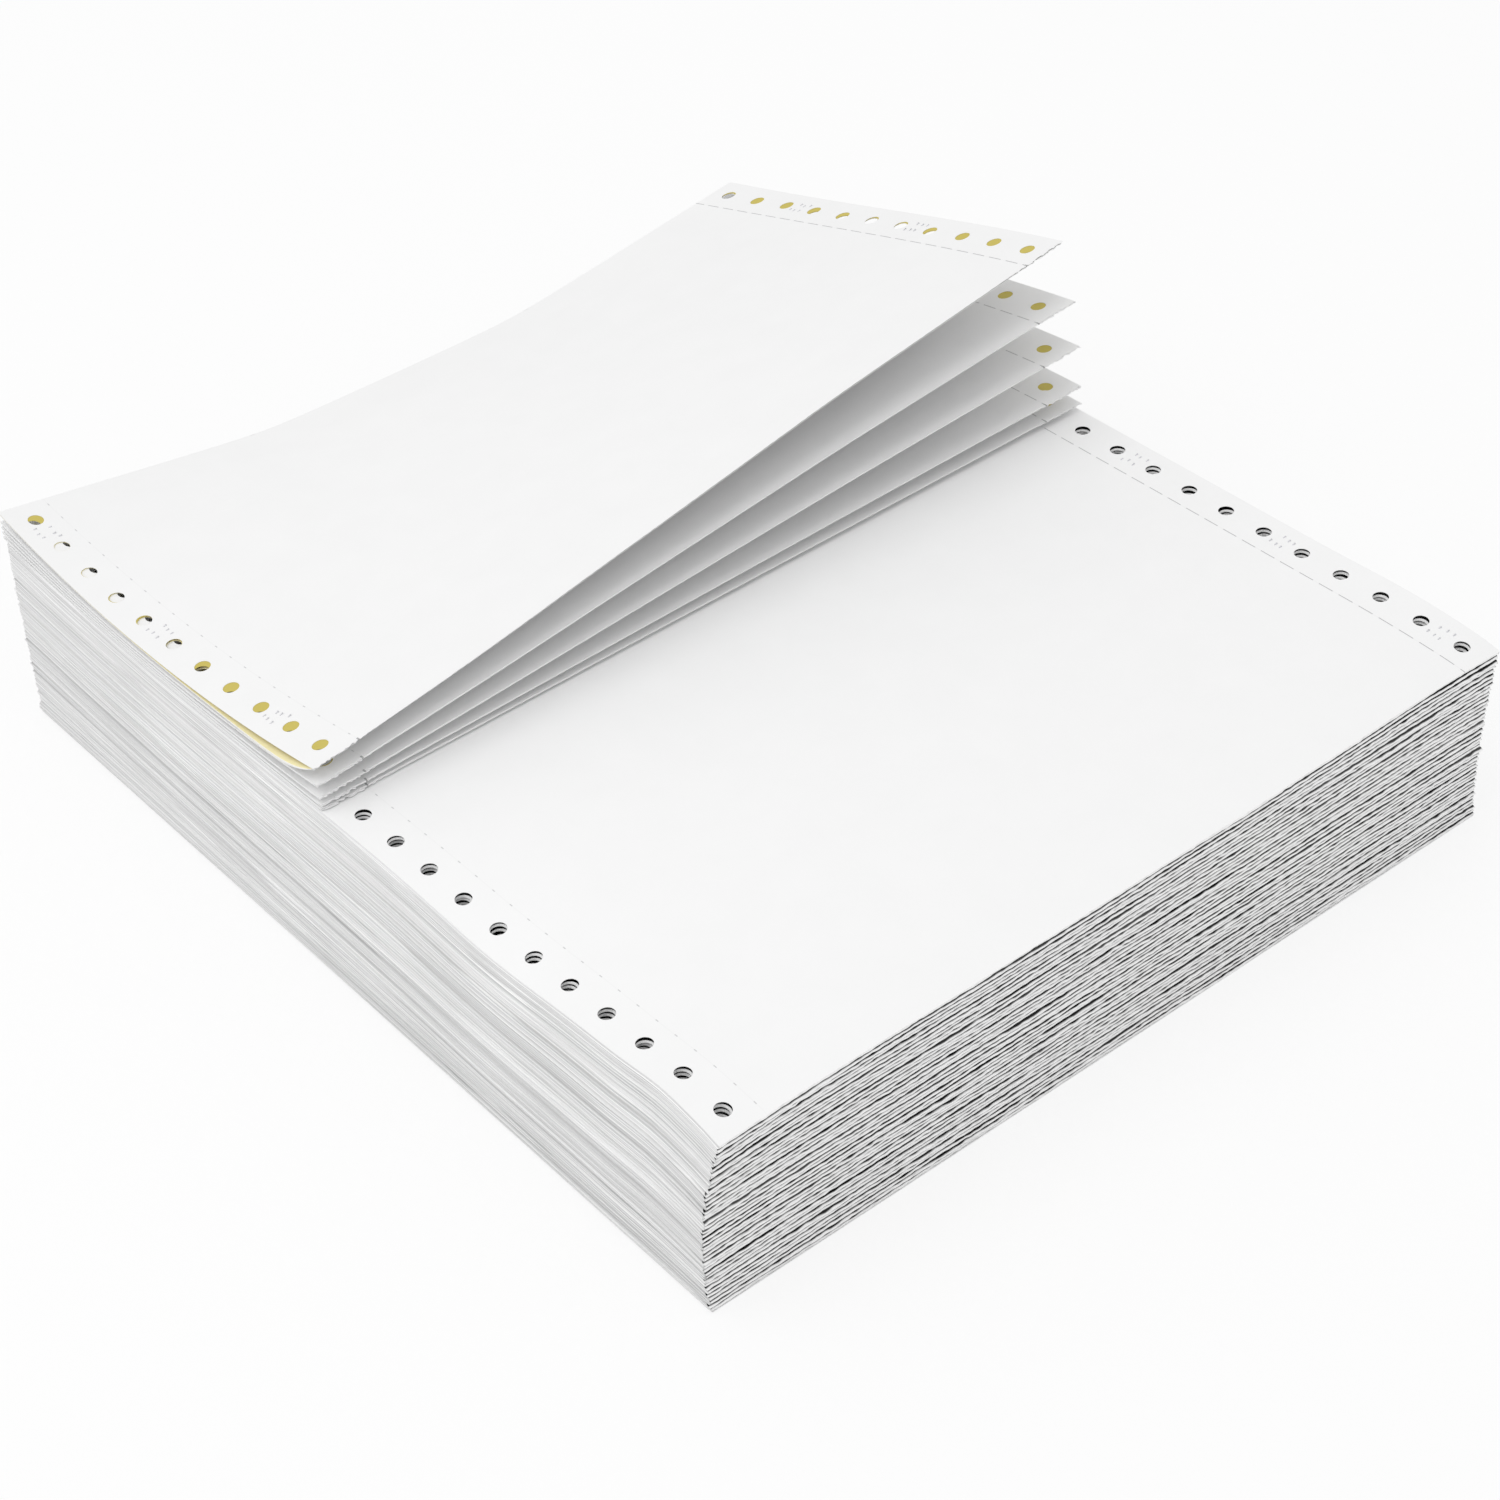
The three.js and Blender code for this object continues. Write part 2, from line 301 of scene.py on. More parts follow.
class Net:
    """Flat points and faces that share their points where they meet."""

    def __init__(self):
        self.points = []
        self.faces = []
        self.known = {}

    def point(self, x, y):
        key = (round(x * 1e7), round(y * 1e7))
        if key not in self.known:
            self.known[key] = len(self.points)
            self.points.append((x, y))
        return self.known[key]

    def face(self, *corners):
        self.faces.append([self.point(x, y) for x, y in corners])


corner_test = Net()
corner_test.face((0, 0), (MM, 0), (MM, MM))
corner_test.face((0, 0), (MM, MM), (0, MM))
print("two triangles share corners:", len(corner_test.points), "points")

# %% [markdown]
# ## One punched cell, and a whole sheet of them
#
# A border of points runs round the square, as many as the ring has. Joining each to its partner through a
# middle ring gives two bands of four-sided faces. The sheet is then two columns of such cells with a
# plain grid between them, and the grid's rows meet the borders point for point.

# %% Flat net of a punched sheet
CELL_PARTS = 6
HOLE_POINTS = 4 * CELL_PARTS
MIDDLE_COLUMNS = 24
RING_START = math.radians(-135)


def cell_border(left, low, size):
    """Points round a square cell, anticlockwise from its low left corner."""
    step = size / CELL_PARTS
    right, high = left + size, low + size
    border = [(left + i * step, low) for i in range(CELL_PARTS)]
    border += [(right, low + i * step) for i in range(CELL_PARTS)]
    border += [(right - i * step, high) for i in range(CELL_PARTS)]
    border += [(left, high - i * step) for i in range(CELL_PARTS)]
    return border


def punched_cell(net, left, low, size, hole):
    """Faces of one cell, from its square border in to the hole's edge."""
    border = cell_border(left, low, size)
    ring = []
    for i in range(HOLE_POINTS):
        angle = RING_START + 2 * math.pi * i / HOLE_POINTS
        across, along = HOLE_RADIUS * math.cos(angle), HOLE_RADIUS * math.sin(angle)
        ring.append((hole[0] + across, hole[1] + along))
    middle = [((2 * r[0] + b[0]) / 3, (2 * r[1] + b[1]) / 3) for r, b in zip(ring, border)]
    for outer, inner in ((border, middle), (middle, ring)):
        for i in range(HOLE_POINTS):
            j = (i + 1) % HOLE_POINTS
            net.face(outer[i], outer[j], inner[j], inner[i])


def sheet_net(low, high, drift=None):
    """A flat sheet from y = low to y = high, with a feed hole in each margin cell.

    drift moves the holes of a ply that no longer lies true under the one above it."""
    net = Net()
    cells = round((high - low) / HOLE_PITCH)
    side = PAPER_WIDTH / 2
    inner = side - FEED_MARGIN
    for cell in range(cells):
        cell_low = low + cell * HOLE_PITCH
        centre = cell_low + HOLE_PITCH / 2
        for left, across in ((-side, HOLE_INSET - side), (inner, side - HOLE_INSET)):
            dx, dy = drift(across, cells - 1 - cell) if drift else (0, 0)
            punched_cell(net, left, cell_low, HOLE_PITCH, (across + dx, centre + dy))
    column_width = 2 * inner / MIDDLE_COLUMNS
    row_height = HOLE_PITCH / CELL_PARTS
    for row in range(cells * CELL_PARTS):
        y0, y1 = low + row * row_height, low + (row + 1) * row_height
        for column in range(MIDDLE_COLUMNS):
            x0, x1 = -inner + column * column_width, -inner + (column + 1) * column_width
            net.face((x0, y0), (x1, y0), (x1, y1), (x0, y1))
    return net


half_net = sheet_net(0, TEAR_LENGTH)
print("a half form's net:", len(half_net.points), "points,", len(half_net.faces), "faces")

# %% [markdown]
# ## The torn edge
#
# A perforation tears into a row of tiny stubs: a little paper stands out where each tie was and none
# where each cut was. We add a fringe of small teeth along the torn edge. It's ragged near the margins,
# where two perforations cross, and almost straight between them. Seeded random numbers give the same
# teeth each time.

# %% Fringe of a torn edge
TOOTH_WIDTH = 0.55 * MM
MARGIN_TEETH = 0.8 * MM
CROSSING_TEETH = 0.5 * MM
MIDDLE_TEETH = 0.12 * MM
FRINGE_ROOT = 0.02 * MM


def add_fringe(net, seed):
    """A strip of small teeth along y = 0, longer in the feed margins."""
    chance = np.random.default_rng(seed)
    count = round(PAPER_WIDTH / TOOTH_WIDTH)
    xs = np.linspace(-PAPER_WIDTH / 2, PAPER_WIDTH / 2, count + 1)
    from_line = np.abs(np.abs(xs) - (PAPER_WIDTH / 2 - FEED_MARGIN))
    in_margin = np.abs(xs) > PAPER_WIDTH / 2 - FEED_MARGIN
    near_crossing = CROSSING_TEETH * np.exp(-from_line / (4 * MM))
    ragged = np.where(in_margin, MARGIN_TEETH, MIDDLE_TEETH + near_crossing)
    reach = ragged * chance.random(count + 1)
    for i in range(count):
        left, right = xs[i], xs[i + 1]
        net.face((left, -reach[i]), (right, -reach[i + 1]), (right, FRINGE_ROOT), (left, FRINGE_ROOT))
    return net


fringed_net = add_fringe(sheet_net(0, TEAR_LENGTH), 1)
print("faces of the fringe:", len(fringed_net.faces) - len(half_net.faces))

# %% [markdown]
# ## Holes that don't line up
#
# No two sheets are punched quite alike, and sheets that were pulled up slide over each other. So each torn
# sheet gets small seeded shifts of its holes. Five holes at the left step further aside with every sheet
# down the pile, so that one looks through them at the white of the next sheet and only a dark sliver.

# %% Torn and punched half forms
HOLE_COUNT = round(TEAR_LENGTH / HOLE_PITCH)
PUNCH_SPREAD = 0.12 * MM


def stepped_aside(across, number, order):
    """Five holes on the left step aside a little more in each sheet further down."""
    stepped = order > 0 and across < 0 and 1 <= number <= 5
    return stepped * np.array([2.4 + 0.4 * order, 0.5 + 0.2 * order]) * MM


def torn_sheet(seed, order=0):
    """A half form with a torn edge. No two are punched or torn quite alike."""
    chance = np.random.default_rng(seed)
    shifts = PUNCH_SPREAD * chance.normal(size=(2, HOLE_COUNT, 2))
    for number in range(HOLE_COUNT):
        shifts[0, number] += stepped_aside(-1, number, order)

    def drift(across, number):
        return shifts[int(across > 0), number]
    return add_fringe(sheet_net(0, TEAR_LENGTH, drift), seed)


torn_net = torn_sheet(3)
print("faces with the fringe:", len(torn_net.faces))

# %% [markdown]
# ## From a flat net to a curled sheet
#
# Paper bends but doesn't stretch. To curl a sheet we walk across it in small steps, and where the sheet
# climbs, a step covers less ground, so the paper keeps its own width and length. Just lifting the points
# would be simpler, but a steep leaf would then be longer than the form that it was torn from.

# %% Curling a sheet
WALK_STEPS = 24


def ground(climb, start, end):
    """Ground covered between two places by paper whose height changes as climb says."""
    step = (end - start) / WALK_STEPS
    heights = np.array([climb(start + i * step) for i in range(WALK_STEPS + 1)])
    covered = np.sqrt(np.maximum(0, step ** 2 - np.diff(heights, axis=0) ** 2)).sum(axis=0)
    return np.sign(end - start) * covered


def curl(points, height):
    """Places of flat points on a sheet of the given height, which keeps the paper's own lengths."""
    x, y = points[:, 0], points[:, 1]
    left = np.full_like(x, -PAPER_WIDTH / 2)
    rear = np.full_like(y, TEAR_LENGTH)
    across = ground(lambda u: height(u, y), left, x) - PAPER_WIDTH / 2
    along = TEAR_LENGTH - ground(lambda v: height(x, v), y, rear) + LEAF_SETBACK
    return np.column_stack([across, along, height(x, y)])


torn_corner = curl(np.array([[PAPER_WIDTH / 2, 0.0]]), height_of("upper_half"))[0]
print("curling draws the right corner in by, mm:", round(float(PAPER_WIDTH / 2 - torn_corner[0]) / MM, 1))

# %% [markdown]
# ## Giving the sheet its thickness
#
# A second face goes one thickness below the first, and strips close the edges and the walls of the holes.
# The strips have points of their own, so that the shading stays flat right up to the edge. The edges to
# close are those that only one face has, which finds the outline and every hole at once.

# %% Thickening a sheet


def border_edges(faces):
    """Edges that only one face has, in that face's direction."""
    seen = {(a, b) for face in faces for a, b in zip(face, face[1:] + face[:1])}
    return [(a, b) for a, b in sorted(seen) if (b, a) not in seen]


def thicken(points, faces, thickness):
    """Both faces of a sheet, then the strips that close its edges."""
    count = len(points)
    below = points.copy()
    below[:, 2] -= thickness
    every_face = [list(face) for face in faces]
    every_face += [[i + count for i in reversed(face)] for face in faces]
    for a, b in border_edges(faces):
        every_face.append([a + 2 * count, a + 3 * count, b + 3 * count, b + 2 * count])
    return np.vstack([points, below, points, below]), every_face


print("edge strips of a torn sheet:", len(border_edges(torn_net.faces)))

# %% [markdown]
# ## From points and faces to a piece
#
# The mesh object gets the flat paper's own coordinates, in metres, as its UVs, so the finishes can find
# the margins and the holes again on a curled sheet. Each piece then rides on the one body of the stack, and
# the solid that it stands for is hidden.

# %% Making and finishing a piece


def make_mesh(name, points, faces, flat):
    """A mesh object in the frame, with the paper's flat coordinates as its UVs."""
    placed = np.asarray(points) + np.array([SHIFT_X, SHIFT_Y, 0])
    mesh = bpy.data.meshes.new(name)
    mesh.from_pydata(placed.tolist(), [], faces)
    layer = mesh.uv_layers.new(name="paper")
    corners = np.empty(len(mesh.loops), dtype=np.int32)
    mesh.loops.foreach_get("vertex_index", corners)
    layer.data.foreach_set("uv", np.asarray(flat)[corners].astype(np.float32).ravel())
    mesh.polygons.foreach_set("use_smooth", [True] * len(mesh.polygons))
    mesh.update()
    piece = bpy.data.objects.new(name, mesh)
    bpy.context.scene.collection.objects.link(piece)
    return piece


def finish_piece(piece, solid, material):
    """Puts a piece on the stack's body, hides the solid that it dresses, and gives it its material."""
    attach(piece, "root")
    if solid:
        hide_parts(solid)
    piece.data.materials.append(material)
    return piece


def sheet_piece(name, net, placed, thickness):
    """One sheet of paper from its net and the places of the net's points."""
    solid, faces = thicken(placed, net.faces, thickness)
    return make_mesh(name, solid, faces, np.vstack([net.points] * 4))


# %% [markdown]
# ## Small helpers for shader nodes
#
# A finish is a tree of nodes, and its sums are easier to read as calls than as rows of links. Each helper
# adds one node, joins its inputs and gives back its output, so that the finishes below read like formulas.

# %% Helpers for shader nodes


def node(tree, kind, **values):
    """Adds one shader node and sets its plain values."""
    made = tree.nodes.new(kind)
    for key, value in values.items():
        setattr(made, key, value)
    return made


def calc(tree, operation, first, second=None):
    """A Math node on two sockets or numbers. Returns its output."""
    made = node(tree, "ShaderNodeMath", operation=operation)
    for socket, value in zip(made.inputs, (first, second)):
        if isinstance(value, (int, float)):
            socket.default_value = value
        elif value is not None:
            tree.links.new(value, socket)
    return made.outputs[0]


def blend(tree, share, first, second):
    """Mixes two colours, given as sockets or as tones, by a share. Returns the colour."""
    made = node(tree, "ShaderNodeMix", data_type="RGBA")
    tree.links.new(share, made.inputs["Factor"])
    for socket, colour in ((made.inputs["A"], first), (made.inputs["B"], second)):
        if isinstance(colour, tuple):
            socket.default_value = (*colour, 1)
        else:
            tree.links.new(colour, socket)
    return made.outputs["Result"]


def flat_place(tree):
    """The flat paper's own coordinates, as two sockets."""
    uv = node(tree, "ShaderNodeUVMap", uv_map="paper")
    split = node(tree, "ShaderNodeSeparateXYZ")
    tree.links.new(uv.outputs["UV"], split.inputs[0])
    return split.outputs[0], split.outputs[1]


def noise(tree, vector, scale, detail):
    """A noise texture's value."""
    made = node(tree, "ShaderNodeTexNoise")
    made.inputs["Scale"].default_value = scale
    made.inputs["Detail"].default_value = detail
    if vector is not None:
        tree.links.new(vector, made.inputs["Vector"])
    return made.outputs["Fac"]


def stretched(tree, x, y, x_scale, y_scale):
    """A vector of two coordinates, each at its own scale."""
    made = node(tree, "ShaderNodeCombineXYZ")
    tree.links.new(calc(tree, "MULTIPLY", x, x_scale), made.inputs[0])
    tree.links.new(calc(tree, "MULTIPLY", y, y_scale), made.inputs[1])
    return made.outputs[0]


node_helpers = (node, calc, blend, flat_place, noise, stretched)
print("helpers for nodes:", [helper.__name__ for helper in node_helpers])

# %% [markdown]
# ## Paper as a material
#
# Uncoated paper is almost white, quite matt, and faintly uneven: its fibres cloud the colour and roughen
# the surface at a scale of a fraction of a millimetre. Every finish here starts from the same matt shader
# with a very fine noise in a very shallow bump, because all of it is paper.

# %% The matt, fibrous surface
FIBRE_SCALE = 1500
FIBRE_DEPTH = 0.1 * MM


def add_fibre(tree, place, shader):
    """The shallow roughness of the fibres."""
    relief = node(tree, "ShaderNodeBump")
    relief.inputs["Strength"].default_value = 0.12
    relief.inputs["Distance"].default_value = FIBRE_DEPTH
    tree.links.new(noise(tree, place, FIBRE_SCALE, 3), relief.inputs["Height"])
    tree.links.new(relief.outputs["Normal"], shader.inputs["Normal"])


def new_paper(name):
    """A matt material. Returns it with its tree, shader and object coordinates."""
    material = bpy.data.materials.new(name)
    material.use_nodes = True
    tree = material.node_tree
    shader = tree.nodes["Principled BSDF"]
    shader.inputs["Roughness"].default_value = 0.88
    shader.inputs["Specular IOR Level"].default_value = 0.25
    place = node(tree, "ShaderNodeTexCoord").outputs["Object"]
    add_fibre(tree, place, shader)
    return material, tree, shader, place


print("fibres about", round(1 / FIBRE_SCALE / MM, 2), "mm apart")

# %% [markdown]
# ## Perforations
#
# A line of cuts beside each feed margin lets it be torn off. Cuts a third of a millimetre wide would cost
# many faces, so we paint them from the flat coordinates as dark lines, painted shade in the slits, which
# keeps them sharp at any distance. On the right they read as a line of long cuts, and on the left, seen
# along the light, only their ends show as a row of dots, so the painted shade is fainter there. Where the
# line runs out of the torn edge there is a small notch, painted dark as shade.

# %% Perforation masks
CUT_PERIOD = 6.35 * MM
CUT_WIDTH = 0.3 * MM
NOTCH_WIDTH = 0.5 * MM
NOTCH_DEPTH = 0.6 * MM


def off_the_line(tree, x):
    """Distance from the nearer of the two margin perforations."""
    from_middle = calc(tree, "ABSOLUTE", x)
    return calc(tree, "ABSOLUTE", calc(tree, "SUBTRACT", from_middle, PAPER_WIDTH / 2 - FEED_MARGIN))


def cut_mask(tree, x, y):
    """1 on the cuts of the two margin perforations, and 0 on plain paper."""
    near = calc(tree, "LESS_THAN", off_the_line(tree, x), CUT_WIDTH / 2)
    phase = calc(tree, "FRACT", calc(tree, "DIVIDE", calc(tree, "ADD", y, 1.0), CUT_PERIOD))
    on_right = calc(tree, "GREATER_THAN", x, 0.0)
    share = calc(tree, "ADD", calc(tree, "MULTIPLY", on_right, 0.56), 0.14)
    cut = calc(tree, "LESS_THAN", phase, share)
    strength = calc(tree, "ADD", 0.42, calc(tree, "MULTIPLY", on_right, 0.2))
    faint = calc(tree, "MAXIMUM", cut, 0.08)
    return calc(tree, "MULTIPLY", calc(tree, "MULTIPLY", near, faint), strength)


def notch_mask(tree, x, y):
    """1 where a margin perforation runs out of the torn edge."""
    near = calc(tree, "LESS_THAN", off_the_line(tree, x), NOTCH_WIDTH / 2)
    low = calc(tree, "LESS_THAN", calc(tree, "ABSOLUTE", y), NOTCH_DEPTH)
    return calc(tree, "MULTIPLY", near, low)


print("cuts in a form's length:", round(FORM_LENGTH / CUT_PERIOD))

# %% [markdown]
# ## White and canary paper
#
# The colour is two close tones, mixed by a soft noise, like the clouds one sees in a sheet held to the
# light. The torn leaves are painted a little greyer than the stack's top form, as painted shade. The
# canary copy is painted a dull, darkened yellow, as painted shade for the holes that it shows through, and
# its half that lies open on the lower sheet gets much paler tones of its own, as painted light.

# %% Paper materials
CLOUD_SCALE = 90
# Painted shade: the dark tones of the perforation cuts and of the notches at the torn edge
CUT_SHADE = (0.30, 0.30, 0.31)
NOTCH_SHADE = (0.42, 0.42, 0.42)


def paper_material(name, light, dark, perforated=False, torn=False):
    """Matt fibrous paper between two tones, with perforations and a torn edge or without."""
    material, tree, shader, place = new_paper(name)
    colour = blend(tree, noise(tree, place, CLOUD_SCALE, 6), dark, light)
    # Perforated and torn paper gets painted shade in its cuts and notches
    if perforated:
        x, y = flat_place(tree)
        colour = blend(tree, cut_mask(tree, x, y), colour, CUT_SHADE)
    if torn:
        colour = blend(tree, notch_mask(tree, x, y), colour, NOTCH_SHADE)
    tree.links.new(colour, shader.inputs["Base Color"])
    return material


white_paper = paper_material("white_paper", (0.915, 0.915, 0.915), (0.89, 0.89, 0.89), perforated=True)
# Painted shade: the torn leaves' paper is a little darker than the top form's
torn_paper = paper_material(
    "torn_paper", (0.885, 0.885, 0.885), (0.855, 0.855, 0.855), perforated=True, torn=True)
# Two copies of one canary paper: a darkened one, painted shade for the holes, and a pale one, painted light
canary_paper = paper_material("canary_paper", (0.62, 0.52, 0.14), (0.55, 0.46, 0.11))
canary_painted_light = paper_material("canary_painted_light", (0.97, 0.90, 0.56), (0.93, 0.85, 0.50))
print("materials:", [material.name for material in bpy.data.materials])

# %% [markdown]
# ## The canary ply
#
# The canary ply is the yellow copy under the white one. It has slipped, so some of its holes no longer
# meet those of the white ply, and yellow shows through them. We give each of its holes a drift of its own,
# in millimetres, counted from the rear fold forward: a small one leaves the hole open, one of a hole's
# width closes it, and those between leave a crescent.

# %% Canary half forms
THIN_PLY = 0.09 * MM
CANARY_INSET = 0.5 * MM
CANARY_TRIM = 0.3 * MM
RIGHT_DRIFT = (0.3, 4.2, 4.2, 2.8, 2.3, 0.1, 0.3, 2.2, 4.2, 4.2, 4.2)
LEFT_DRIFT = (2.6, 0.1, 0.1, 0.2, 0.2, 0.3, 2.4, 4.2, 4.2, 4.2, 4.2)
DRIFT_WAY = np.array([0.6, 0.7])


def canary_sheet(order):
    """A canary half form, its holes drifted towards the front left.

    The last hole at the left peeps out from under the top leaf, and shows no yellow."""
    def drift(across, number):
        share = (RIGHT_DRIFT if across > 0 else LEFT_DRIFT)[number] * MM
        peeps_out = order > 0 and across < 0 and number == HOLE_COUNT - 1
        if peeps_out:
            share = 0
        return stepped_aside(across, number, order) - share * DRIFT_WAY
    return sheet_net(0, TEAR_LENGTH, drift)


def drawn_in(net):
    """Points of a ply whose torn edge stands a little behind the white one's."""
    flat = np.array(net.points)
    y = CANARY_INSET + flat[:, 1] * (1 - CANARY_INSET / TEAR_LENGTH)
    return np.column_stack([flat[:, 0] * (1 - CANARY_TRIM / PAPER_WIDTH), y])


print("faces of a canary half form:", len(canary_sheet(0).faces))

# %% [markdown]
# ## The raised leaves
#
# Each raised leaf is one folded piece: a white ply outside, and the canary ply inside it. The white ply
# goes round the rear fold, which is a narrow half-round strip between its two halves. Towards the left the
# plies lie looser, so we let the leaf get a little thicker there.

# %% Rear fold of a leaf
FOLD_COLUMNS = 41
FOLD_ROWS = 7


def lowered(height, drop):
    """The same height function, some way further down."""
    return lambda x, y: height(x, y) - drop


def fold_strip(name, high, low, reach):
    """The white ply's rear fold: a round strip from the upper half's edge to the lower half's."""
    x = np.linspace(-PAPER_WIDTH / 2, PAPER_WIDTH / 2, FOLD_COLUMNS)
    flat = np.column_stack([x, np.full(FOLD_COLUMNS, TEAR_LENGTH)])
    above, below = curl(flat, high), curl(flat, low)
    rows = []
    for angle in np.linspace(0, math.pi, FOLD_ROWS):
        blended = above + (below - above) * (1 - math.cos(angle)) / 2
        blended[:, 1] += reach * math.sin(angle)
        rows.append(blended)
    index = np.arange(FOLD_ROWS * FOLD_COLUMNS).reshape(FOLD_ROWS, FOLD_COLUMNS)
    faces = np.stack([index[:-1, :-1], index[:-1, 1:], index[1:, 1:], index[1:, :-1]], axis=-1)
    return make_mesh(name, np.vstack(rows), faces.reshape(-1, 4).tolist(), np.vstack([flat] * FOLD_ROWS))


print("a rear fold goes round in", FOLD_ROWS - 1, "steps")

# %% [markdown]
# ## Four folded leaves
#
# The four leaves differ only in their height, their torn edge and their punching, so one function makes
# them all. It puts the canary ply between the two white halves, with a hair's gap on each side.

# %% Raised leaves
LEAF_PLY = 0.13 * MM
LEAF_CANARY = 0.05 * MM
HAIR = 0.005 * MM
LOOSENESS = 0.24 * MM


def plump(flat):
    """A leaf is fuller towards its left side, where its plies lie looser."""
    return LOOSENESS * np.clip(-2 * flat[:, 0] / PAPER_WIDTH, 0, 1) ** 2


def make_leaf(name, order):
    """White, canary and white plies of one folded leaf, and its rear fold."""
    top = height_of(name)
    nets = torn_sheet(20 + order, order), torn_sheet(70 + order, order + 0.5)
    to_lower = LEAF_PLY + LEAF_CANARY + 2 * HAIR
    for part, drop, net in (("upper", 0, nets[0]), ("lower", to_lower, nets[1])):
        flat = np.array(net.points)
        placed = curl(flat, lowered(top, drop))
        placed[:, 2] -= (drop > 0) * plump(flat) / 2
        piece = sheet_piece(f"{name}_{part}_half", net, placed, LEAF_PLY + plump(flat) / 2)
        finish_piece(piece, name, torn_paper)
    net = canary_sheet(order)
    flat = drawn_in(net)
    placed = curl(flat, lowered(top, LEAF_PLY + HAIR))
    placed[:, 2] -= plump(flat) / 2
    piece = sheet_piece(f"{name}_canary", net, placed, LEAF_CANARY)
    finish_piece(piece, name, canary_paper)
    strip = fold_strip(f"{name}_rear_fold", top, lowered(top, LEAF_THICKNESS), LEAF_THICKNESS / 2)
    finish_piece(strip, name, white_paper)


for number, leaf in enumerate(list(SHEETS)[:4]):
    make_leaf(leaf, 5 - number)

# %% [markdown]
# ## The top leaf
#
# The two halves of the top leaf stand apart along their left side, and show the canary ply between them.
# Half of the canary ply stays under the upper half, and the other half lies on the lower one.

# %% Places of the top leaf's four sheets
UPPER_TO_CANARY = 0.11 * MM
UPPER_TO_LOWER_CANARY = 0.22 * MM
CANARY_TO_WHITE = 0.11 * MM
upper = height_of("upper_half")
_, left_share, _, left_curl, _ = SHEETS["upper_half"]


def parted(x, y):
    """Gap between the two halves of the top leaf."""
    to_right = x / PAPER_WIDTH + 0.5
    return LEFT_FAN_HEIGHT * left_share * (1 - to_right) * left_curl(np.clip(1 - y / TEAR_LENGTH, 0, 1))


def lower_canary(x, y):
    """Height of the canary half that lies on the lower white half."""
    return upper(x, y) - UPPER_TO_LOWER_CANARY - parted(x, y)


def lower_white(x, y):
    """Height of the lower white half."""
    return lower_canary(x, y) - CANARY_TO_WHITE


def slid(placed, flat, share):
    """Moves a sheet outward to the left, by a share of the gap above it."""
    near_front = np.clip(1 - flat[:, 1] / TEAR_LENGTH, 0, 1) ** 5
    placed[:, 0] -= share * near_front * parted(flat[:, 0], flat[:, 1])
    return placed


widest = float(parted(-PAPER_WIDTH / 2, np.linspace(0, TEAR_LENGTH, 99)).max())
print("the halves part by up to, mm:", round(widest / MM, 2))

# %% [markdown]
# ## Sheets of the top leaf
#
# The lower sheets have also slid outward a little at the left, which is why a thin band of yellow shows
# along the top leaf's left edge. The white ply goes round the rear fold here too.

# %% Top leaf
TOP_FOLD_REACH = 0.45 * MM
white_halves = (
    ("top_leaf_upper_half", upper, 0, torn_net),
    ("top_leaf_lower_half", lower_white, 1.45, torn_sheet(4, 1)),
)
for name, height, slide, net in white_halves:
    flat = np.array(net.points)
    piece = sheet_piece(name, net, slid(curl(flat, height), flat, slide), THIN_PLY)
    finish_piece(piece, "top_leaf_white_ply", torn_paper)
# The lower canary half gets the pale copy of the canary paper, which is painted light
canary_halves = (
    ("canary_upper_half", lowered(upper, UPPER_TO_CANARY), 0, canary_sheet(0), canary_paper),
    ("canary_lower_half", lower_canary, 1.1, canary_sheet(0), canary_painted_light),
)
for name, height, slide, net, material in canary_halves:
    flat = drawn_in(net)
    piece = sheet_piece(name, net, slid(curl(flat, height), flat, slide), THIN_PLY)
    finish_piece(piece, "top_leaf_canary_ply", material)
strip = fold_strip("top_leaf_rear_fold", upper, lowered(lower_white, THIN_PLY), TOP_FOLD_REACH)
finish_piece(strip, "top_leaf_white_ply", white_paper)
print("sheets of the top leaf:", len(white_halves) + len(canary_halves))

# %% [markdown]
# ## The stack's folds
#
# The front and rear of the stack are rows of round folds with deep grooves between them. Each fold
# reaches out a little more or less than its neighbours, wavers along its length, and is rough where its
# perforation was bent, so a row of folds looks like twisted cord. We store the reach of every fold at
# every column, and read it back for any level of the wall.

# %% Reach of the folds
FOLD_LEVELS = (0, 0.10, 0.28, 0.5, 0.72, 0.90)
GROOVE_DEPTH = 1.7 * MM
FRONT_COLUMNS = 390
REAR_COLUMNS = 130
NOSE_POWER = 2.4
chance = np.random.default_rng(11)


def wander(count, width, spread):
    """Seeded noise along a row of points, smoothed over a number of points."""
    raw = chance.normal(size=count + 2 * width)
    kernel = np.hanning(width + 2)[1:-1]
    kernel /= np.sqrt((kernel ** 2).sum())
    return spread * np.convolve(raw, kernel, mode="same")[width:width + count]


